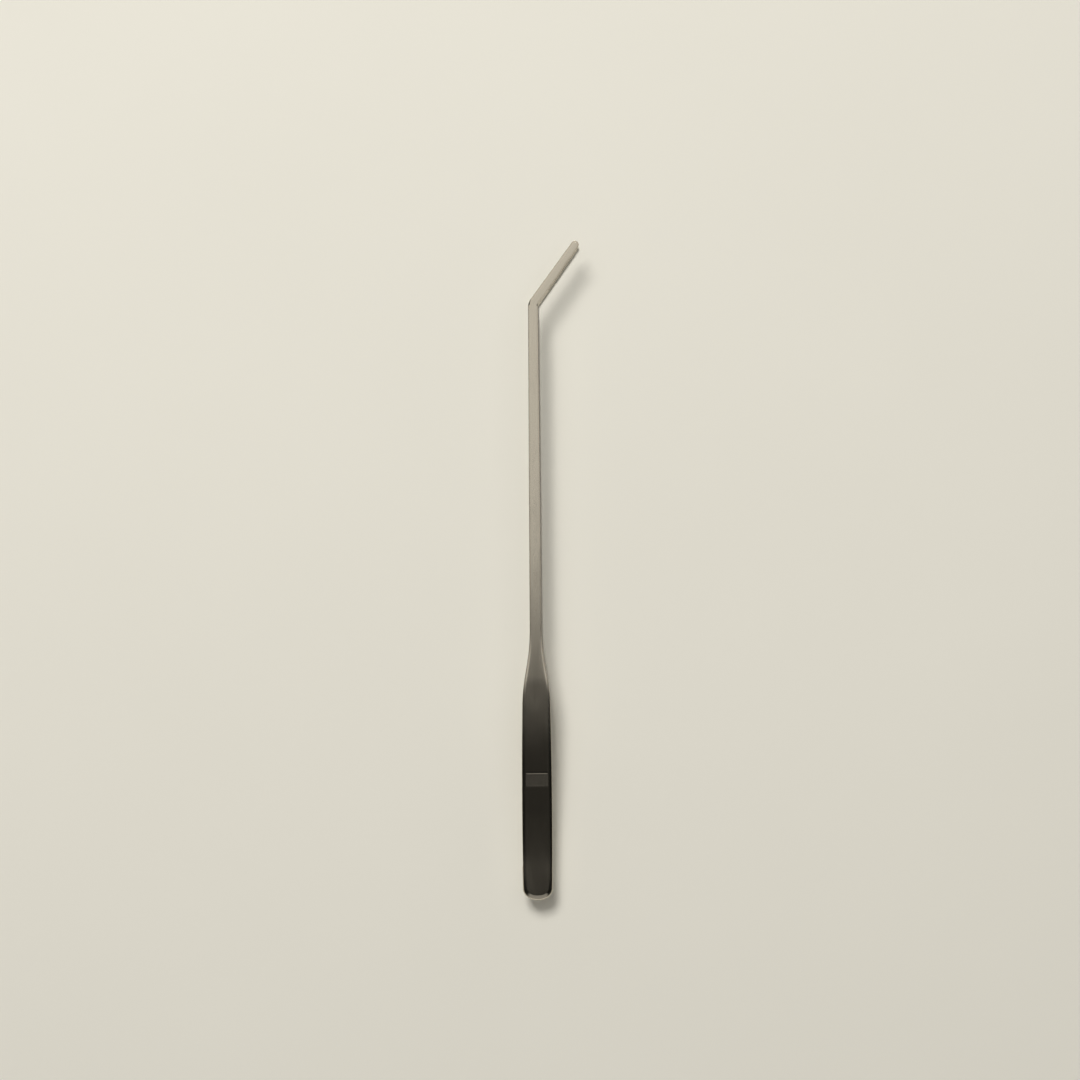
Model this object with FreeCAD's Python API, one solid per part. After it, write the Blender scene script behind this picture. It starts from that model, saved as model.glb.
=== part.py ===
"""Curved aquascaping tweezers, about 27 cm long: two sprung stainless steel arms welded at the heel.

Each arm is one ground strip. It lies flat against its twin in the heel, springs away from it,
runs parallel to it along the shaft and turns sideways near the tip. The upper and the lower arm
mirror each other in the closing plane. Each arm is cut in two at its virtual flexure pivot,
because the strip bends where a rigid model has to hinge.

Frame: +Y runs from the heel to the tips, +Z is the closing direction, +X is the side the tips
turn to. The tool lies on the lower arm's flat outer face at z = 0. All sizes are millimetres.
"""

import FreeCAD, Part
import math
import os

from FreeCAD import Placement, Rotation, Vector

# Outline of an arm seen square to its wide face, measured from the heel end (y = 0)
HEEL_HALF_WIDTH = 5.85
HEEL_CAP_LENGTH = 4.5
HANDLE_HALF_WIDTH = 6.1
HANDLE_WIDEST_AT = 36.0
FLARE_START_HALF_WIDTH = 5.7
FLARE_START_AT = 77.0
FLARE_END_HALF_WIDTH = 2.4
FLARE_END_AT = 110.0
FLARE_HANDLE_START = 13.0
FLARE_HANDLE_END = 15.5
BEND_HALF_WIDTH = 2.02
BEND_AT = 239.6
BEND_ANGLE = 36.0
BEND_OUTER_RADIUS = 5.5
BEND_INNER_RADIUS = 1.2
TIP_LENGTH = 30.4
TIP_ROOT_HALF_WIDTH = 1.8
TIP_END_HALF_WIDTH = 1.55

# Side profile of an arm, as height above the closing plane
ARM_THICKNESS = 1.4
TIP_THICKNESS = 0.9
WELD_LENGTH = 14.0
SPRING_ANGLE = 8.5
SPRING_RADIUS = 150.0
SPRING_END_AT = 62.0
SHAFT_HEIGHT = 7.6
TIP_TAPER_AT = 226.0

# Edges
OUTER_EDGE_RADIUS = 0.5
INNER_EDGE_CHAMFER = 0.3

# Jaw teeth on the inner face of each tip
GROOVE_PITCH = 0.8
GROOVE_WIDTH = 0.56
GROOVE_DEPTH = 0.22
GROOVE_COUNT = 26
FIRST_GROOVE_FROM_END = 1.4

# Frosted grip band on the outer face of the handle
BAND_NEAR = 46.1
BAND_FAR = 51.7
BAND_HALF_WIDTH = 4.7
BAND_DEPTH = 0.08

# Virtual flexure pivot: a third of the way from the weld to the finger grip
FINGER_GRIP_AT = 104.0
PIVOT_AT = WELD_LENGTH + (FINGER_GRIP_AT - WELD_LENGTH) / 3
PIVOT_GAP = 0.06

# Weld bead round the heel
BEAD_RADIUS = 0.42
BEAD_INSET = 0.22

# Making of the solids: least upward lean of a wide face, a length beyond the tool's, and how far
# a shape that cuts or is cut runs past the strip
WIDE_FACE_LEAN = 0.9
BIG = 400.0
OVERSHOOT = 1.0


def turn_side(angle):
    """Unit vector in the plan, `angle` degrees from +Y towards +X."""
    return Vector(math.sin(math.radians(angle)), math.cos(math.radians(angle)), 0)


def line(a, b):
    return Part.LineSegment(a, b).toShape()


def arc(a, middle, b):
    return Part.Arc(a, middle, b).toShape()


def meet(a, along_a, b, along_b):
    """Point where two lines in one plane cross."""
    normal = along_a.cross(along_b)
    reach = (b - a).cross(along_b).dot(normal) / normal.dot(normal)
    return a + along_a * reach


def corner_arc(corner, arriving, leaving, radius):
    """Start, middle and end of the arc that rounds a corner between two directions."""
    half_turn = arriving.getAngle(leaving) / 2
    setback = radius * math.tan(half_turn)
    start = corner - arriving * setback
    end = corner + leaving * setback
    inward = (leaving - arriving).normalize()
    middle = corner + inward * (radius / math.cos(half_turn) - radius)
    return start, middle, end


def direction(a, b):
    return (b - a).normalize()


def flare_edge(side):
    """The S-curve from the handle to the shaft, on one side of the strip."""
    curve = Part.BezierCurve()
    curve.setPoles([
        Vector(side * FLARE_START_HALF_WIDTH, FLARE_START_AT, 0),
        Vector(side * FLARE_START_HALF_WIDTH, FLARE_START_AT + FLARE_HANDLE_START, 0),
        Vector(side * FLARE_END_HALF_WIDTH, FLARE_END_AT - FLARE_HANDLE_END, 0),
        Vector(side * FLARE_END_HALF_WIDTH, FLARE_END_AT, 0),
    ])
    return curve.toShape()


def heel_edges(inset=0.0):
    """Rim of the heel from the left side, round the end, to the right side, in three edges."""
    half_width = HEEL_HALF_WIDTH - inset
    cap = Part.Ellipse(Vector(0, HEEL_CAP_LENGTH, 0), half_width, HEEL_CAP_LENGTH - inset)
    end = Part.ArcOfEllipse(cap, math.pi, 2 * math.pi).toShape()
    sides = []
    for side in (-1, 1):
        near = Vector(side * half_width, HEEL_CAP_LENGTH, 0)
        widest = Vector(side * (HANDLE_HALF_WIDTH - inset), HANDLE_WIDEST_AT, 0)
        far = Vector(side * (FLARE_START_HALF_WIDTH - inset), FLARE_START_AT, 0)
        sides.append(arc(near, widest, far))
    return sides[0], end, sides[1]


def tip_edges():
    """Rim of the shaft and the turned tip, from the flare's left side round to its right side."""
    turned = turn_side(BEND_ANGLE)
    across = turn_side(BEND_ANGLE + 90)
    bend = Vector(0, BEND_AT, 0)
    cap_centre = bend + turned * (TIP_LENGTH - TIP_END_HALF_WIDTH)
    edges = []
    cap_ends = []
    for side, radius in ((-1, BEND_OUTER_RADIUS), (1, BEND_INNER_RADIUS)):
        flare_end = Vector(side * FLARE_END_HALF_WIDTH, FLARE_END_AT, 0)
        shaft_end = Vector(side * BEND_HALF_WIDTH, BEND_AT, 0)
        along_shaft = direction(flare_end, shaft_end)
        tip_root = bend + across * (side * TIP_ROOT_HALF_WIDTH)
        cap_end = cap_centre + across * (side * TIP_END_HALF_WIDTH)
        along_tip = direction(tip_root, cap_end)
        corner = meet(flare_end, along_shaft, cap_end, along_tip)
        start, middle, end = corner_arc(corner, along_shaft, along_tip, radius)
        edges += [line(flare_end, start), arc(start, middle, end), line(end, cap_end)]
        cap_ends.append(cap_end)
    edges.append(arc(cap_ends[0], cap_centre + turned * TIP_END_HALF_WIDTH, cap_ends[1]))
    return edges


def plan_prism():
    """The strip's outline as a tall prism."""
    rim = [*heel_edges(), flare_edge(-1), flare_edge(1), *tip_edges()]
    wire = Part.Wire(Part.__sortEdges__(rim))
    return Part.Face(wire).extrude(Vector(0, 0, BIG))


def side_points():
    """Landmarks of the inner face, as (y, z), with the directions and radii between them."""
    rise = math.radians(SPRING_ANGLE)
    first_arc_end = (
        WELD_LENGTH + SPRING_RADIUS * math.sin(rise),
        SPRING_RADIUS * (1 - math.cos(rise)),
    )
    straight_end = (
        SPRING_END_AT,
        first_arc_end[1] + (SPRING_END_AT - first_arc_end[0]) * math.tan(rise),
    )
    back_radius = (SHAFT_HEIGHT - straight_end[1]) / (1 - math.cos(rise))
    level_from = (SPRING_END_AT + back_radius * math.sin(rise), SHAFT_HEIGHT)
    return rise, first_arc_end, straight_end, back_radius, level_from


def side_prism():
    """The strip's side profile, drawn in the YZ plane and extruded across the strip."""
    rise, first_arc_end, straight_end, back_radius, level_from = side_points()
    half_rise = rise / 2

    def at(y, z):
        return Vector(-BIG / 2, y, z)

    def face_edges(offset, end_y):
        """One face of the strip, `offset` above the inner face, from the heel to end_y."""
        first_radius = SPRING_RADIUS - offset
        second_radius = back_radius + offset
        weld_end = at(WELD_LENGTH, offset)
        first_middle = at(
            WELD_LENGTH + first_radius * math.sin(half_rise),
            SPRING_RADIUS - first_radius * math.cos(half_rise),
        )
        shift_y = -offset * math.sin(rise)
        shift_z = offset * math.cos(rise)
        first_end = at(first_arc_end[0] + shift_y, first_arc_end[1] + shift_z)
        second_start = at(straight_end[0] + shift_y, straight_end[1] + shift_z)
        second_middle = at(
            level_from[0] - second_radius * math.sin(half_rise),
            SHAFT_HEIGHT - back_radius + second_radius * math.cos(half_rise),
        )
        second_end = at(level_from[0], SHAFT_HEIGHT + offset)
        return [
            line(at(-OVERSHOOT, offset), weld_end),
            arc(weld_end, first_middle, first_end),
            line(first_end, second_start),
            arc(second_start, second_middle, second_end),
            line(second_end, at(end_y, SHAFT_HEIGHT + offset)),
        ]

    past_tip = BEND_AT + TIP_LENGTH
    tip_end_y = BEND_AT + TIP_LENGTH * math.cos(math.radians(BEND_ANGLE))
    thinning = (ARM_THICKNESS - TIP_THICKNESS) / (tip_end_y - TIP_TAPER_AT)
    past_tip_thickness = ARM_THICKNESS - thinning * (past_tip - TIP_TAPER_AT)
    edges = face_edges(0, past_tip) + face_edges(ARM_THICKNESS, TIP_TAPER_AT)
    edges += [
        line(at(-OVERSHOOT, 0), at(-OVERSHOOT, ARM_THICKNESS)),
        line(
            at(TIP_TAPER_AT, SHAFT_HEIGHT + ARM_THICKNESS),
            at(past_tip, SHAFT_HEIGHT + past_tip_thickness),
        ),
        line(
            at(past_tip, SHAFT_HEIGHT + past_tip_thickness),
            at(past_tip, SHAFT_HEIGHT),
        ),
    ]
    wire = Part.Wire(Part.__sortEdges__(edges))
    return Part.Face(wire).extrude(Vector(BIG, 0, 0))


def strip():
    """The plain upper arm, one solid with sharp edges, on the closing plane."""
    return plan_prism().common(side_prism()).Solids[0]


def rim_of(shape, up):
    """Edges round the outer (up = 1) or the inner (up = -1) wide face of a strip."""
    owners = {}
    for face in shape.Faces:
        u, v = face.Surface.parameter(face.CenterOfMass)
        if face.normalAt(u, v).z * up < WIDE_FACE_LEAN:
            continue
        for edge in face.Edges:
            owners.setdefault(edge.hashCode(), []).append(edge)
    return [edges[0] for edges in owners.values() if len(edges) == 1]


def jaw_grooves():
    """Cutters for the V-grooves that leave the gripping teeth on the inner face of a tip."""
    turned = turn_side(BEND_ANGLE)
    across = turn_side(BEND_ANGLE + 90)
    tip_end = Vector(0, BEND_AT, SHAFT_HEIGHT) + turned * TIP_LENGTH
    half = turned * (GROOVE_WIDTH / 2)
    root = Vector(0, 0, GROOVE_DEPTH)
    below = Vector(0, 0, -GROOVE_DEPTH)
    reach = across * (2 * HANDLE_HALF_WIDTH)
    cutters = []
    for number in range(GROOVE_COUNT):
        from_end = FIRST_GROOVE_FROM_END + number * GROOVE_PITCH
        centre = tip_end - turned * from_end - reach / 2
        corners = [
            centre - half,
            centre + root,
            centre + half,
            centre + half + below,
            centre - half + below,
            centre - half,
        ]
        cutters.append(Part.Face(Part.makePolygon(corners)).extrude(reach))
    return Part.makeCompound(cutters)


def inner_height(y):
    """Height of the inner face above the closing plane on the straight, sloping stretch."""
    rise, first_arc_end, _, _, _ = side_points()
    return first_arc_end[1] + (y - first_arc_end[0]) * math.tan(rise)


def sloped(y, above_inner):
    """Placement with Y along the sloping stretch and Z out of it, at a height above its inner face."""
    slope = Rotation(Vector(1, 0, 0), SPRING_ANGLE)
    out = slope.multVec(Vector(0, 0, above_inner))
    return Placement(Vector(0, y, inner_height(y)) + out, slope)


def band_cutter():
    """Cutter for the shallow pocket of the frosted grip band."""
    length = (BAND_FAR - BAND_NEAR) / math.cos(math.radians(SPRING_ANGLE))
    corner = Vector(-BAND_HALF_WIDTH, 0, 0)
    block = Part.makeBox(2 * BAND_HALF_WIDTH, length, OVERSHOOT, corner)
    block.Placement = sloped(BAND_NEAR, ARM_THICKNESS - BAND_DEPTH)
    return block


def upper_arm():
    """The finished upper arm as one strip."""
    arm = strip()
    arm = arm.makeFillet(OUTER_EDGE_RADIUS, rim_of(arm, 1))
    arm = arm.makeChamfer(INNER_EDGE_CHAMFER, rim_of(arm, -1))
    return arm.cut(jaw_grooves()).cut(band_cutter()).Solids[0]


def pivot_point():
    """Virtual flexure pivot of the upper arm, at mid-thickness."""
    return sloped(PIVOT_AT, ARM_THICKNESS / 2).Base


def split(arm):
    """The arm's heel stretch and its blade, parted square to the strip at the pivot."""
    parts = []
    for y_low, y_high in ((-BIG, -PIVOT_GAP / 2), (PIVOT_GAP / 2, BIG)):
        side = Part.makeBox(BIG, y_high - y_low, BIG, Vector(-BIG / 2, y_low, -BIG / 2))
        side.Placement = sloped(PIVOT_AT, ARM_THICKNESS / 2)
        parts.append(arm.common(side).Solids[0])
    return parts


def mirrored(shape):
    """The same piece on the lower arm."""
    return shape.mirror(Vector(0, 0, 0), Vector(0, 0, 1))


def heel_weld(arms):
    """Bead that fills the groove between the two arms round the heel's rim."""
    left, end, right = heel_edges(BEAD_INSET)
    path = Part.Wire(Part.__sortEdges__([left, end, right]))
    start = path.OrderedVertexes[0].Point
    ring = Part.Wire(Part.makeCircle(BEAD_RADIUS, start, Vector(0, 1, 0)))
    bead = path.makePipeShell([ring], True, False)
    weld_zone = Part.makeBox(BIG, BIG, BIG, Vector(-BIG / 2, WELD_LENGTH - BIG, -BIG / 2))
    bead = bead.common(weld_zone)
    for arm in arms:
        bead = bead.cut(arm)
    return max(bead.Solids, key=lambda solid: solid.Volume)


def build():
    """All nodes in the object's frame, and the pivots of the two arms."""
    upper = upper_arm()
    lower = mirrored(upper)
    upper_heel, upper_blade = split(upper)
    nodes = {
        "upper_arm_heel": upper_heel,
        "upper_arm_blade": upper_blade,
        "lower_arm_heel": mirrored(upper_heel),
        "lower_arm_blade": mirrored(upper_blade),
        "heel_weld": heel_weld([upper, lower]),
    }
    box = Part.makeCompound(list(nodes.values())).optimalBoundingBox(False)
    to_base = Vector(-box.Center.x, -box.Center.y, -box.ZMin)
    for shape in nodes.values():
        shape.translate(to_base)
    pivot = pivot_point()
    pivots = {
        "upper_flexure": pivot + to_base,
        "lower_flexure": Vector(pivot.x, pivot.y, -pivot.z) + to_base,
    }
    return nodes, pivots, to_base


def main():
    os.makedirs("parts", exist_ok=True)
    nodes, pivots, to_base = build()
    for name, shape in nodes.items():
        box = shape.optimalBoundingBox(False)
        print(name, "valid", shape.isValid(), "solids", len(shape.Solids),
              "volume", round(shape.Volume, 2), "faces", len(shape.Faces),
              [round(v, 3) for v in (box.XMin, box.YMin, box.ZMin, box.XMax, box.YMax, box.ZMax)])
        shape.exportStep(f"parts/{name}.step")
    print("heel end of the centreline moves by", [round(v, 4) for v in to_base])
    for name, point in pivots.items():
        print(name, [round(v, 4) for v in point])


main()
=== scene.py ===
"""Curved aquascaping tweezers: two satin steel arms welded at the heel, lying on a pale floor.

Each arm is one detailed strip that bends from the heel body to its blade body. The strip is a
tube of rings: every ring runs round the cross-section at one station along the centreline.
Lengths in the mesh code are in millimetres, as drawn from the heel end. `to_row` turns points
into metres in the row frame. Lengths in the materials and the stage are in metres, apart from
the camera's sensor and the point it aims at.
"""

import math

import bmesh
import bpy
import numpy as np
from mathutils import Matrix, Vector


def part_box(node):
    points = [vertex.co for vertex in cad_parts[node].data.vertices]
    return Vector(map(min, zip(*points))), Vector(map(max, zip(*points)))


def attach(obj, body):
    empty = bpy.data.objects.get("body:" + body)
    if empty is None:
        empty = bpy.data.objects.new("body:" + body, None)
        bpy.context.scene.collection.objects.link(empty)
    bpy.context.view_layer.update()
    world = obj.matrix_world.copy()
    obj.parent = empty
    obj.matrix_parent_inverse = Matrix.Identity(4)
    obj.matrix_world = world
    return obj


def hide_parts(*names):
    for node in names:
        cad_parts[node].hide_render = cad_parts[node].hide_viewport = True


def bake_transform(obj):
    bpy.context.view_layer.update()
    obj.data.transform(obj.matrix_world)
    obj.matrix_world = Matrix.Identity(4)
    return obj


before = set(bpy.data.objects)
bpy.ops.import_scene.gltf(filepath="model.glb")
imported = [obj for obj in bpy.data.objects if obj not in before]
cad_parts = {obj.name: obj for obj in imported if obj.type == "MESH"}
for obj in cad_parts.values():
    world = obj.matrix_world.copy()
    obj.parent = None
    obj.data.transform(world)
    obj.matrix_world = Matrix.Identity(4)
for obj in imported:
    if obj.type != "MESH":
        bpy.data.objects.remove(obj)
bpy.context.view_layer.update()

MM = 0.001

# Plan of a strip, in millimetres from the heel end
HEEL_HALF_WIDTH = 5.85
HEEL_CAP_LENGTH = 4.5
HANDLE_HALF_WIDTH = 6.1
HANDLE_WIDEST_AT = 36.0
FLARE_START_HALF_WIDTH = 5.7
FLARE_START_AT = 77.0
FLARE_END_HALF_WIDTH = 2.4
FLARE_END_AT = 110.0
FLARE_HANDLE_START = 13.0
FLARE_HANDLE_END = 15.5
FLARE_SAMPLES = 200
BEND_HALF_WIDTH = 2.02
BEND_AT = 239.6
BEND_ANGLE = math.radians(36.0)
BEND_RADIUS = 3.4
TIP_LENGTH = 30.4
TIP_ROOT_HALF_WIDTH = 1.8
TIP_END_HALF_WIDTH = 1.55

# Side profile of a strip, as height above the closing plane
ARM_THICKNESS = 1.4
TIP_THICKNESS = 0.9
WELD_LENGTH = 14.0
SPRING_ANGLE = math.radians(8.5)
SPRING_RADIUS = 150.0
SPRING_END_AT = 62.0
SHAFT_HEIGHT = 7.6
TIP_TAPER_AT = 226.0

# Ground edges: the outer face falls in a bevel to a rounded rim. A fall is a share of the edge's
# width. BEVEL_SHARE of it is straight, and the rest rounds over near the rim.
HEEL_EDGE_WIDTH = 1.8
HANDLE_EDGE_WIDTH = 1.15
SHAFT_EDGE_WIDTH = 0.65
TIP_EDGE_WIDTH = 0.34
HEEL_EDGE_FALL = 0.556
EDGE_FALL = 0.435
TIP_EDGE_FALL = 1.3
HEEL_EDGE_FADES_BY = 9.0
BEVEL_SHARE = 0.65
RIM_SHARPNESS = 10
RIM_SHARE = 0.15
INNER_CHAMFER = 0.3
INNER_FACE_INSET = 1.25
CROWN = 0.04

# The inner chamfer's points: inset and height in chamfers, and how worn the edge is there
INNER_BEVEL = [(INNER_FACE_INSET, 0.0, 0.0), (1.0, 0.03, 0.7), (0.03, 1.0, 1.0), (0.0, 1.12, 0.8)]

# The outer bevel's points, as shares of its width from the rim inwards
EDGE_INSETS = np.array([0, 0.004, 0.015, 0.035, 0.065, 0.11, 0.18, 0.3, 0.45, 0.65, 0.85, 0.95, 1])

# Jaw grooves
GROOVE_PITCH = 0.8
GROOVE_WIDTH = 0.56
GROOVE_DEPTH = 0.22
GROOVE_COUNT = 26
FIRST_GROOVE_FROM_END = 1.4

# Frosted grip band, and the polished rib along its far side
BAND_NEAR = 46.1
BAND_FAR = 51.7
BAND_SHARE = 0.93
BAND_SIDE_RAMP = 0.05
BAND_DEPTH = 0.03
BAND_RAMP = 0.3
BAND_LINE_AT = 51.3
BAND_LINE_HALF_WIDTH = 0.14
RIB_HEIGHT_SHARE = 0.8

# Weld bead
BEAD_LENGTH = 14.0
BEAD_RADIUS = 0.42
BEAD_INSET = 0.22
BEAD_END_TAPER = 0.5
BEAD_SIDES = 20
BEAD_STATIONS = 90
BEAD_CROWDING = 1.5
RIPPLE_PITCH = 0.9
RIPPLE_HEIGHT = 0.035

# Spacing of the rings
CAP_STATIONS = 29
RIB_STATIONS = 9
BEND_STATIONS = 17
FINE_STEP = 0.8
SHAFT_STEP = 1.6
STATION_GAP = 0.05

# Mesh making
WELD_DISTANCE = 1e-8
END_TOLERANCE = 1e-6
SHARP_ANGLE = math.radians(28)
STRIP_UNITS = np.array([MM, MM, 1.0])


def smooth(t):
    t = np.clip(t, 0.0, 1.0)
    return t * t * (3 - 2 * t)


# Where the drawing's heel end, centreline and closing plane lie in the row frame

heel_low, heel_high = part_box("upper_arm_heel")
HEEL_ORIGIN = Vector(((heel_low.x + heel_high.x) / 2, heel_low.y, heel_low.z))


def to_row(points, side):
    """Drawn points in millimetres, side 1 for the upper arm and -1 for the lower, in the row frame."""
    points = np.asarray(points, float) * MM
    points = points * np.array([1.0, 1.0, side])
    return points + np.array(HEEL_ORIGIN)


# Centreline, half-width and heights along a strip

BEND_SETBACK = BEND_RADIUS * math.tan(BEND_ANGLE / 2)
BEND_FROM = BEND_AT - BEND_SETBACK
BEND_TO = BEND_FROM + BEND_RADIUS * BEND_ANGLE
STRIP_LENGTH = BEND_TO + TIP_LENGTH - BEND_SETBACK
TIP_CAP_FROM = STRIP_LENGTH - TIP_END_HALF_WIDTH
TIP_END_Y = BEND_AT + TIP_LENGTH * math.cos(BEND_ANGLE)


def centreline(s):
    """Point and heading on the centreline, s millimetres from the heel end."""
    s = np.asarray(s, float)
    turn = np.clip((s - BEND_FROM) / BEND_RADIUS, 0, BEND_ANGLE)
    before = np.minimum(s, BEND_FROM)
    after = np.maximum(s - BEND_TO, 0)
    x = BEND_RADIUS * (1 - np.cos(turn)) + after * np.sin(turn)
    y = before + BEND_RADIUS * np.sin(turn) + after * np.cos(turn)
    return x, y, turn


def flare(t):
    """Distance from the heel and half-width at a share t of the S-curve between handle and shaft."""
    a, b = (1 - t) ** 3 + 3 * (1 - t) ** 2 * t, 3 * (1 - t) * t ** 2 + t ** 3
    y = (
        (1 - t) ** 3 * FLARE_START_AT
        + 3 * (1 - t) ** 2 * t * (FLARE_START_AT + FLARE_HANDLE_START)
        + 3 * (1 - t) * t ** 2 * (FLARE_END_AT - FLARE_HANDLE_END)
        + t ** 3 * FLARE_END_AT
    )
    return y, a * FLARE_START_HALF_WIDTH + b * FLARE_END_HALF_WIDTH


FLARE_Y, FLARE_HALF = flare(np.linspace(0, 1, FLARE_SAMPLES))
HANDLE_CURVE = np.polyfit(
    [HEEL_CAP_LENGTH, HANDLE_WIDEST_AT, FLARE_START_AT],
    [HEEL_HALF_WIDTH, HANDLE_HALF_WIDTH, FLARE_START_HALF_WIDTH],
    2,
)


def half_width(s):
    s = np.asarray(s, float)
    heel = np.clip(1 - s / HEEL_CAP_LENGTH, 0, 1)
    tip = np.clip((s - TIP_CAP_FROM) / TIP_END_HALF_WIDTH, 0, 1)
    return np.select(
        [s < HEEL_CAP_LENGTH, s < FLARE_START_AT, s < FLARE_END_AT, s < BEND_FROM, s < BEND_TO,
         s < TIP_CAP_FROM],
        [
            HEEL_HALF_WIDTH * np.sqrt(1 - heel ** 2),
            np.polyval(HANDLE_CURVE, s),
            np.interp(s, FLARE_Y, FLARE_HALF),
            np.interp(s, [FLARE_END_AT, BEND_FROM], [FLARE_END_HALF_WIDTH, BEND_HALF_WIDTH]),
            np.interp(s, [BEND_FROM, BEND_TO], [BEND_HALF_WIDTH, TIP_ROOT_HALF_WIDTH]),
            np.interp(s, [BEND_TO, TIP_CAP_FROM], [TIP_ROOT_HALF_WIDTH, TIP_END_HALF_WIDTH]),
        ],
        TIP_END_HALF_WIDTH * np.sqrt(1 - tip ** 2),
    )


SPRING_ARC_END = WELD_LENGTH + SPRING_RADIUS * math.sin(SPRING_ANGLE)
SPRING_ARC_HEIGHT = SPRING_RADIUS * (1 - math.cos(SPRING_ANGLE))
SLOPE_END_HEIGHT = SPRING_ARC_HEIGHT + (SPRING_END_AT - SPRING_ARC_END) * math.tan(SPRING_ANGLE)
BACK_RADIUS = (SHAFT_HEIGHT - SLOPE_END_HEIGHT) / (1 - math.cos(SPRING_ANGLE))
LEVEL_FROM = SPRING_END_AT + BACK_RADIUS * math.sin(SPRING_ANGLE)


def inner_face(y):
    """Height of the inner face over the closing plane, and its slope in radians."""
    out_arc = np.clip((y - WELD_LENGTH) / SPRING_RADIUS, 0, math.sin(SPRING_ANGLE))
    back_arc = np.clip((LEVEL_FROM - y) / BACK_RADIUS, 0, math.sin(SPRING_ANGLE))
    slope = np.where(y < SPRING_END_AT, np.arcsin(out_arc), np.arcsin(back_arc))
    height = np.where(
        y < SPRING_ARC_END,
        SPRING_RADIUS * (1 - np.cos(slope)),
        np.where(
            y < SPRING_END_AT,
            SPRING_ARC_HEIGHT + (y - SPRING_ARC_END) * math.tan(SPRING_ANGLE),
            SHAFT_HEIGHT - BACK_RADIUS * (1 - np.cos(slope)),
        ),
    )
    return height, slope


def thickness(y):
    return np.interp(y, [TIP_TAPER_AT, TIP_END_Y], [ARM_THICKNESS, TIP_THICKNESS])


# The strip's mesh


def groove_roots():
    """Stations of the jaw grooves' roots, from the tip back."""
    return STRIP_LENGTH - FIRST_GROOVE_FROM_END - GROOVE_PITCH * np.arange(GROOVE_COUNT)


def stations():
    """Distances from the heel end, close together where the shape turns or has detail."""
    quarter = np.linspace(0, math.pi / 2, CAP_STATIONS)
    roots = groove_roots()
    detail = np.concatenate([
        HEEL_CAP_LENGTH * (1 - np.cos(quarter)),
        TIP_CAP_FROM + TIP_END_HALF_WIDTH * np.sin(quarter[::2]),
        [BAND_NEAR, BAND_NEAR + BAND_RAMP, BAND_FAR - BAND_RAMP, BAND_FAR],
        BAND_LINE_AT + BAND_LINE_HALF_WIDTH * np.linspace(-1, 1, RIB_STATIONS),
        roots,
        roots - GROOVE_WIDTH / 2,
        roots + GROOVE_WIDTH / 2,
    ])
    plain = np.concatenate([
        np.arange(HEEL_CAP_LENGTH, FLARE_END_AT, FINE_STEP),
        np.arange(FLARE_END_AT, BEND_FROM, SHAFT_STEP),
        np.linspace(BEND_FROM, BEND_TO, BEND_STATIONS),
        np.arange(BEND_TO, TIP_CAP_FROM, FINE_STEP),
    ])
    apart = np.abs(plain[:, None] - detail[None, :]).min(axis=1)
    return np.unique(np.concatenate([detail, plain[apart > STATION_GAP]]))


def groove_depth(s):
    """How deep a jaw groove cuts into the inner face at each station."""
    from_root = np.abs(s[:, None] - groove_roots()[None, :]).min(axis=1)
    return GROOVE_DEPTH * np.clip(1 - from_root / (GROOVE_WIDTH / 2), 0, 1)


def rim_normals(points):
    """Unit normals of a rim line in the plan, turned a quarter left of the way it runs."""
    along = np.gradient(points, axis=0)
    along /= np.linalg.norm(along, axis=1)[:, None]
    return np.stack([-along[:, 1], along[:, 0]], axis=1)


def band_etch(s, share):
    """1 inside the frosted band and 0 outside, at a station and a share of the half-width."""
    along = np.clip(np.minimum(s - BAND_NEAR, BAND_FAR - s) / BAND_RAMP, 0, 1)
    across = np.clip((BAND_SHARE - np.abs(share)) / BAND_SIDE_RAMP, 0, 1)
    return along * across


def band_line(s):
    """Height share of the polished rib that borders the band on the side of the shaft."""
    from_line = np.clip(np.abs(s - BAND_LINE_AT) / BAND_LINE_HALF_WIDTH, 0, 1)
    return np.cos(from_line * math.pi / 2) ** 2


OUTER_SHARES = np.array(
    [-1, -0.985, -BAND_SHARE, -BAND_SHARE + BAND_SIDE_RAMP, -0.86]
    + list(np.linspace(-0.76, 0.76, 15))
    + [0.86, BAND_SHARE - BAND_SIDE_RAMP, BAND_SHARE, 0.985, 1]
)
INNER_SHARES = np.linspace(1, -1, 9)


def rims_at(s):
    """Centreline points, headings, rim points and outward normals of both sides, in the plan."""
    x, y, turn = centreline(s)
    centre = np.stack([x, y], axis=1)
    ahead = np.stack([np.sin(turn), np.cos(turn)], axis=1)
    right = np.stack([np.cos(turn), -np.sin(turn)], axis=1)
    reach = half_width(s)[:, None] * right
    rims = {-1: centre - reach, 1: centre + reach}
    outward = {-1: rim_normals(rims[-1]), 1: -rim_normals(rims[1])}
    for normals in outward.values():
        if math.isclose(s[0], 0, abs_tol=END_TOLERANCE):
            normals[0] = -ahead[0]
        if math.isclose(s[-1], STRIP_LENGTH, abs_tol=END_TOLERANCE):
            normals[-1] = ahead[-1]
    return centre, ahead, right, rims, outward


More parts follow.
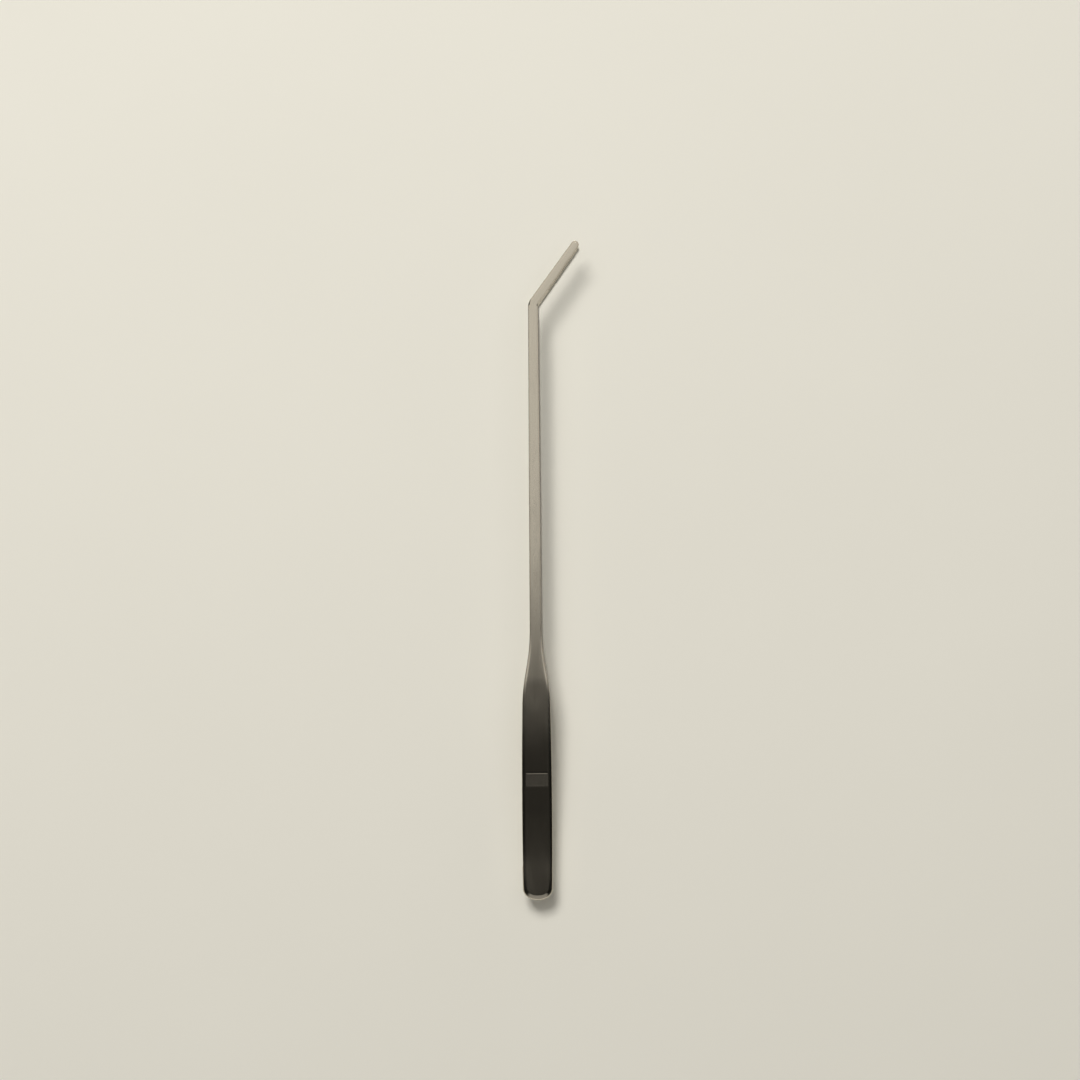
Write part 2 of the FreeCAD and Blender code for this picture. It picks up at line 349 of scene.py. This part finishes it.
def strip_rings(s):
    """Rings by points by (x, y, z), and by (across, along, etched, edge), at the stations s."""
    centre, ahead, right, rims, outward = rims_at(s)
    at_heel = 1 - smooth(s / HEEL_EDGE_FADES_BY)
    width = np.interp(s, [FLARE_START_AT, FLARE_END_AT, BEND_FROM, BEND_TO],
                      [HANDLE_EDGE_WIDTH, SHAFT_EDGE_WIDTH, SHAFT_EDGE_WIDTH, TIP_EDGE_WIDTH])
    width = width + (HEEL_EDGE_WIDTH - HANDLE_EDGE_WIDTH) * at_heel
    fall_rate = np.interp(s, [BEND_FROM, BEND_TO], [EDGE_FALL, TIP_EDGE_FALL])
    drop = width * (fall_rate + (HEEL_EDGE_FALL - EDGE_FALL) * at_heel)
    groove = groove_depth(s)
    thick = thickness(centre[:, 1])
    zero = np.zeros_like(s)
    points, facts = [], []

    def add(plan, offset, etched=zero, edge=0.0):
        """One point of every ring: its place in the plan, and its offset from the inner face."""
        height, slope = inner_face(plan[:, 1])
        y = plan[:, 1] - offset * np.sin(slope)
        z = height + offset * np.cos(slope)
        points.append(np.stack([plan[:, 0], y, z], axis=1))
        across = ((plan - centre) * right).sum(axis=1)
        along = s + ((plan - centre) * ahead).sum(axis=1)
        facts.append(np.stack([across, along, etched, zero + edge], axis=1))

    def rim_plan(side, inset):
        return rims[side] - outward[side] * np.broadcast_to(inset, s.shape)[:, None]

    def add_chamfer(side, order):
        """The inner face's chamfered edge, from the face to the side wall or back."""
        for inset, offset, edge in INNER_BEVEL[::order]:
            raised = np.maximum(INNER_CHAMFER * offset, groove)
            add(rim_plan(side, INNER_CHAMFER * inset), raised, edge=edge)

    def add_bevelled_edge(side, order):
        """The outer face's bevel and rounded rim, from the side wall to the face or back."""
        for inset in EDGE_INSETS[::order]:
            rounding = 1 - math.sqrt(1 - (1 - inset) ** RIM_SHARPNESS)
            fall = BEVEL_SHARE * (1 - inset) + (1 - BEVEL_SHARE) * rounding
            at_rim = max(0.0, 1 - inset / RIM_SHARE)
            add(rim_plan(side, width * inset), thick - CROWN - drop * fall, edge=at_rim)

    add_chamfer(-1, 1)
    add_bevelled_edge(-1, 1)
    left = rim_plan(-1, width)
    across_face = rim_plan(1, width) - left
    for share in OUTER_SHARES[1:-1]:
        etched = band_etch(s, share)
        rib = band_line(s) * etched
        depth = CROWN * share ** 2 + BAND_DEPTH * (etched - RIB_HEIGHT_SHARE * rib)
        add(left + across_face * (1 + share) / 2, thick - depth, etched - rib)
    add_bevelled_edge(1, -1)
    add_chamfer(1, -1)
    left = rim_plan(-1, INNER_FACE_INSET * INNER_CHAMFER)
    across_face = rim_plan(1, INNER_FACE_INSET * INNER_CHAMFER) - left
    for share in INNER_SHARES[1:-1]:
        add(left + across_face * (1 + share) / 2, groove)
    return np.stack(points, axis=1), np.stack(facts, axis=1)


def tube_object(name, rings, facts):
    """A closed mesh of rings; rings whose points meet in pairs close it at the ends."""
    count, width = rings.shape[:2]
    corner = np.arange(count * width).reshape(count, width)
    beside = np.roll(corner, -1, axis=1)
    quads = np.stack([corner[:-1], beside[:-1], beside[1:], corner[1:]], axis=-1)
    mesh = bpy.data.meshes.new(name)
    mesh.from_pydata(rings.reshape(-1, 3).tolist(), [], quads.reshape(-1, 4).tolist())
    strip = mesh.attributes.new("strip", "FLOAT_VECTOR", "POINT")
    strip.data.foreach_set("vector", (facts[..., :3] * STRIP_UNITS).astype(np.float32).ravel())
    edge = mesh.attributes.new("edge", "FLOAT", "POINT")
    edge.data.foreach_set("value", facts[..., 3].astype(np.float32).ravel())
    shaped = bmesh.new()
    shaped.from_mesh(mesh)
    bmesh.ops.remove_doubles(shaped, verts=shaped.verts, dist=WELD_DISTANCE)
    bmesh.ops.recalc_face_normals(shaped, faces=shaped.faces)
    shaped.to_mesh(mesh)
    shaped.free()
    mesh.shade_smooth()
    mesh.set_sharp_from_angle(angle=SHARP_ANGLE)
    made = bpy.data.objects.new(name, mesh)
    bpy.context.scene.collection.objects.link(made)
    return made


def make_arm(name, side):
    rings, facts = strip_rings(stations())
    return tube_object(name, to_row(rings, side), facts)


def make_weld(name):
    """The bead round the heel's rim: a rippled tube in the groove between the two arms."""
    s = BEAD_LENGTH * np.linspace(0, 1, BEAD_STATIONS) ** BEAD_CROWDING
    # One station beyond the bead, used only for the last normals and dropped from the line
    _, _, _, rims, outward = rims_at(np.concatenate([s, [STRIP_LENGTH / 2]]))
    line = np.concatenate([rims[side][:-1][::side] for side in (-1, 1)])
    out = np.concatenate([outward[side][:-1][::side] for side in (-1, 1)])
    line, out = np.delete(line, len(s), axis=0), np.delete(out, len(s), axis=0)
    travelled = np.concatenate([[0], np.cumsum(np.linalg.norm(np.diff(line, axis=0), axis=1))])
    to_end = np.minimum(travelled, travelled[-1] - travelled)
    swell = np.sqrt(np.clip(to_end / BEAD_END_TAPER, 0, 1))
    ripple = np.abs(np.sin(math.pi * travelled / RIPPLE_PITCH)) * RIPPLE_HEIGHT
    radius = (BEAD_RADIUS - RIPPLE_HEIGHT + ripple) * swell
    rings, facts = [], []
    for angle in np.linspace(0, 2 * math.pi, BEAD_SIDES, endpoint=False):
        reach = radius * math.cos(angle) - BEAD_INSET
        plan = line + out * reach[:, None]
        rings.append(np.column_stack([plan, radius * math.sin(angle)]))
        facts.append(np.column_stack([radius * angle, travelled, 0 * radius, 0 * radius]))
    return tube_object(name, to_row(np.stack(rings, axis=1), 1), np.stack(facts, axis=1))


# Materials: linear colours, noise scales per metre, and lengths in metres

STEEL_DARK = (0.58, 0.54, 0.465)
STEEL_PALE = (0.72, 0.675, 0.585)
STEEL_SMUDGE = (0.55, 0.51, 0.44)
STEEL_FROSTED = (0.60, 0.56, 0.49)
FROSTED_ROUGHNESS = 0.27
LINE_HEIGHT = 0.000008
SCUFF_RISE = (0.052, 0.074)
SCUFF_FADE = (0.078, 0.092)
WELD_GREY = (0.52, 0.50, 0.47)
WELD_STRAW = (0.50, 0.44, 0.34)
WELD_RELIEF = 0.00001
FLOOR_SHADES = (0.87, 0.865, 0.82), (0.90, 0.895, 0.85)


class Shader:
    """A material whose nodes are added one call at a time."""

    def __init__(self, name):
        self.material = bpy.data.materials.new(name)
        self.material.use_nodes = True
        self.tree = self.material.node_tree
        self.principled = self.tree.nodes["Principled BSDF"]

    def node(self, kind, **settings):
        made = self.tree.nodes.new(kind)
        for setting, value in settings.items():
            setattr(made, setting, value)
        return made

    def link(self, source, target):
        self.tree.links.new(source, target)

    def attribute(self, name, output):
        return self.node("ShaderNodeAttribute", attribute_name=name).outputs[output]

    def maths(self, operation, *values):
        """A maths node of numbers and sockets."""
        made = self.node("ShaderNodeMath", operation=operation)
        for place, value in zip(made.inputs, values):
            if isinstance(value, (int, float)):
                place.default_value = value
            else:
                self.link(value, place)
        return made.outputs[0]

    def blend(self, share, value, number):
        """A value that turns into a plain number as share goes from 0 to 1."""
        apart = self.maths("SUBTRACT", number, value)
        return self.maths("MULTIPLY_ADD", apart, share, value)

    def ramp(self, value, low, high, to_low=0.0, to_high=1.0):
        """value from low to high, smoothly turned into to_low to to_high."""
        made = self.node("ShaderNodeMapRange", interpolation_type="SMOOTHSTEP")
        for name, number in zip(("From Min", "From Max", "To Min", "To Max"),
                                (low, high, to_low, to_high)):
            made.inputs[name].default_value = number
        self.link(value, made.inputs["Value"])
        return made.outputs["Result"]

    def noise(self, place, scales, detail=2.0, roughness=0.5):
        """Noise over a vector, stretched by its own scale along each axis."""
        mapped = self.node("ShaderNodeMapping")
        mapped.inputs["Scale"].default_value = scales
        self.link(place, mapped.inputs["Vector"])
        made = self.node("ShaderNodeTexNoise")
        made.inputs["Scale"].default_value = 1.0
        made.inputs["Detail"].default_value = detail
        made.inputs["Roughness"].default_value = roughness
        self.link(mapped.outputs["Vector"], made.inputs["Vector"])
        return made.outputs["Fac"]

    def mix(self, share, first, second):
        """Two colours mixed by a socket's share."""
        made = self.node("ShaderNodeMix", data_type="RGBA")
        colours = [place for place in made.inputs if place.type == "RGBA"]
        self.link(share, made.inputs["Factor"])
        for place, value in zip(colours, (first, second)):
            if isinstance(value, tuple):
                place.default_value = (*value, 1.0)
            else:
                self.link(value, place)
        return [place for place in made.outputs if place.type == "RGBA"][0]

    def bump(self, height, distance):
        made = self.node("ShaderNodeBump")
        made.inputs["Strength"].default_value = 1.0
        made.inputs["Distance"].default_value = distance
        self.link(height, made.inputs["Height"])
        return made.outputs["Normal"]


def arm_steel():
    """Satin stainless steel, ground along the strip, frosted in the grip band."""
    shader = Shader("arm_steel_satin")
    strip = shader.attribute("strip", "Vector")
    edge = shader.attribute("edge", "Fac")
    parts = shader.node("ShaderNodeSeparateXYZ")
    shader.link(strip, parts.inputs[0])
    etched = parts.outputs["Z"]
    place = shader.node("ShaderNodeCombineXYZ")
    shader.link(parts.outputs["X"], place.inputs["X"])
    shader.link(parts.outputs["Y"], place.inputs["Y"])
    place = place.outputs[0]

    fine_lines = shader.noise(place, (9000, 70, 1), detail=3)
    wide_lines = shader.noise(place, (1500, 18, 1), detail=2)
    smudges = shader.noise(place, (260, 60, 1), detail=3, roughness=0.6)
    tumbled = shader.ramp(edge, 0.15, 0.9)
    scuffed = shader.maths("MULTIPLY", shader.ramp(parts.outputs["Y"], *SCUFF_RISE),
                           shader.ramp(parts.outputs["Y"], *SCUFF_FADE, 1.0, 0.0))

    lines = shader.maths("ADD", shader.maths("MULTIPLY", fine_lines, 0.6),
                         shader.maths("MULTIPLY", wide_lines, 0.4))
    lines = shader.blend(etched, lines, 0.5)
    base = shader.mix(lines, STEEL_DARK, STEEL_PALE)
    base = shader.mix(shader.ramp(smudges, 0.45, 0.75, 0.0, 0.3), base, STEEL_SMUDGE)
    base = shader.mix(shader.maths("MULTIPLY", etched, 0.7), base, STEEL_FROSTED)
    shader.link(base, shader.principled.inputs["Base Color"])

    roughness = shader.maths("MULTIPLY_ADD", lines, 0.08, 0.11)
    roughness = shader.maths("ADD", roughness, shader.ramp(smudges, 0.4, 0.8, 0.0, 0.04))
    roughness = shader.maths("MULTIPLY_ADD", tumbled, 0.12, roughness)
    roughness = shader.maths("MULTIPLY_ADD", scuffed, 0.08, roughness)
    roughness = shader.blend(etched, roughness, FROSTED_ROUGHNESS)
    shader.link(roughness, shader.principled.inputs["Roughness"])

    shader.link(shader.bump(lines, LINE_HEIGHT), shader.principled.inputs["Normal"])
    shader.principled.inputs["Metallic"].default_value = 1.0
    return shader.material


def weld_steel():
    """Ground weld metal, a little duller, with a faint straw heat tint."""
    shader = Shader("weld_steel_ground")
    strip = shader.attribute("strip", "Vector")
    patches = shader.noise(strip, (900, 900, 1), detail=4, roughness=0.6)
    base = shader.mix(shader.ramp(patches, 0.35, 0.7), WELD_GREY, WELD_STRAW)
    shader.link(base, shader.principled.inputs["Base Color"])
    shader.link(shader.ramp(patches, 0.3, 0.7, 0.24, 0.42), shader.principled.inputs["Roughness"])
    shader.link(shader.bump(patches, WELD_RELIEF), shader.principled.inputs["Normal"])
    shader.principled.inputs["Metallic"].default_value = 1.0
    return shader.material


def floor_paint():
    """Plain pale studio floor."""
    shader = Shader("pale_floor")
    place = shader.node("ShaderNodeTexCoord").outputs["Object"]
    mottle = shader.noise(place, (9, 9, 9), detail=4)
    base = shader.mix(mottle, *FLOOR_SHADES)
    shader.link(base, shader.principled.inputs["Base Color"])
    shader.principled.inputs["Roughness"].default_value = 0.9
    shader.principled.inputs["Specular IOR Level"].default_value = 0.1
    return shader.material


# The object

upper_arm = make_arm("upper_arm", 1)
lower_arm = make_arm("lower_arm", -1)
weld_bead = make_weld("heel_weld_bead")
steel = arm_steel()
for piece in (upper_arm, lower_arm):
    piece.data.materials.append(steel)
weld_bead.data.materials.append(weld_steel())

for piece, level in ((upper_arm, "upper"), (lower_arm, "lower")):
    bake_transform(piece)
    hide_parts(f"{level}_arm_heel", f"{level}_arm_blade")
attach(weld_bead, "heel")
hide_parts("heel_weld")


# The stage: a pale floor; level panels overhead, faint over the handle and bright over the shaft
# and beyond; a key light, a low light behind the heel, and surroundings that are dark overhead.
# SENSOR and CAMERA_AIM_DRAWN are in millimetres, and the other lengths in metres.

FLOOR_RADIUS = 1.5
FLOOR_SIDES = 180
FLOOR_DROP = 0.0003
FRAME_WIDTH = 0.432
CAMERA_HEIGHT = 1.5
CAMERA_ROLL = math.radians(-0.475)
CAMERA_CLIP_END = 50
SENSOR = 36.0
CAMERA_AIM_DRAWN = (2.0, 144.8, 0)

PANEL_HEIGHT = 1.95
PANEL_HALF_WIDTH = 1.6
PANEL_EDGE, PANEL_END = -0.045, 2.10
FADE_END = -0.13
PANEL_RADIANCE = 0.68
FADE_RADIANCE = 0.09
KEY_PLACE, KEY_SIZE = (-0.5, 1.25, 2.0), (0.8, 0.8)
KEY_RADIANCE = 18.0
KICKER_PLACE, KICKER_SIZE = (0, -1.6, 0.9), (1.6, 1.4)
KICKER_RADIANCE = 0.32
LIGHT_AIM = (0, 0, 0)
WARM = (1.0, 0.965, 0.89)

# Sine of the elevation, and how bright the surroundings are there
SKY = [
    (0.0, 0.68), (0.10, 0.66), (0.30, 0.42), (0.50, 0.12),
    (0.62, 0.006), (0.89, 0.006), (0.94, 0.029),
]
SKY_TINT = (1.0, 0.95, 0.83)


def add_floor(radius, z, material):
    """A level disc that isn't part of the object."""
    mesh = bpy.data.meshes.new("floor")
    turns = np.linspace(0, 2 * math.pi, FLOOR_SIDES, endpoint=False)
    rim = [(radius * math.cos(turn), radius * math.sin(turn), z) for turn in turns]
    mesh.from_pydata(rim, [], [range(FLOOR_SIDES)])
    mesh.materials.append(material)
    made = bpy.data.objects.new("floor", mesh)
    bpy.context.scene.collection.objects.link(made)


def area_light(name, place, aim, size, radiance):
    """A rectangular light of one brightness, whatever its size."""
    light = bpy.data.lights.new(name, "AREA")
    light.shape = "RECTANGLE"
    light.size, light.size_y = size
    light.energy = math.pi * size[0] * size[1] * radiance
    light.color = WARM
    made = bpy.data.objects.new(name, light)
    made.location = place
    made.rotation_euler = (Vector(aim) - Vector(place)).to_track_quat("-Z", "Y").to_euler()
    bpy.context.scene.collection.objects.link(made)


def overhead_panel(name, y_range, radiance):
    """A level light panel over the object, from one y to another."""
    middle = sum(y_range) / 2
    size = (2 * PANEL_HALF_WIDTH, max(y_range) - min(y_range))
    area_light(name, (0, middle, PANEL_HEIGHT), (0, middle, 0), size, radiance)


def studio_world():
    """Surroundings that are pale round the horizon and dark overhead."""
    world = bpy.data.worlds.new("studio")
    world.use_nodes = True
    tree = world.node_tree
    direction = tree.nodes.new("ShaderNodeTexCoord")
    parts = tree.nodes.new("ShaderNodeSeparateXYZ")
    sky = tree.nodes.new("ShaderNodeValToRGB")
    for _ in SKY[2:]:
        sky.color_ramp.elements.new(0.5)
    for stop, (place, brightness) in zip(sky.color_ramp.elements, SKY):
        stop.position = place
        stop.color = (*(brightness * tint for tint in SKY_TINT), 1)
    tree.links.new(direction.outputs["Generated"], parts.inputs[0])
    tree.links.new(parts.outputs["Z"], sky.inputs["Fac"])
    tree.links.new(sky.outputs["Color"], tree.nodes["Background"].inputs["Color"])
    return world


aim_x, aim_y, _ = to_row(CAMERA_AIM_DRAWN, 1)
top_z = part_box("upper_arm_blade")[1].z
camera = bpy.data.objects.new("camera", bpy.data.cameras.new("camera"))
camera.location = (aim_x, aim_y, top_z + CAMERA_HEIGHT)
camera.rotation_euler = (0, 0, CAMERA_ROLL)
camera.data.sensor_width = SENSOR
camera.data.lens = SENSOR * CAMERA_HEIGHT / FRAME_WIDTH
camera.data.clip_end = CAMERA_CLIP_END
bpy.context.scene.collection.objects.link(camera)
bpy.context.scene.camera = camera

add_floor(FLOOR_RADIUS, -FLOOR_DROP, floor_paint())
overhead_panel("main_panel", (PANEL_EDGE, PANEL_END), PANEL_RADIANCE)
overhead_panel("fade_panel", (FADE_END, PANEL_EDGE), FADE_RADIANCE)
area_light("key", KEY_PLACE, LIGHT_AIM, KEY_SIZE, KEY_RADIANCE)
area_light("heel_kicker", KICKER_PLACE, LIGHT_AIM, KICKER_SIZE, KICKER_RADIANCE)
bpy.context.scene.world = studio_world()
bpy.context.scene.view_settings.view_transform = "Standard"
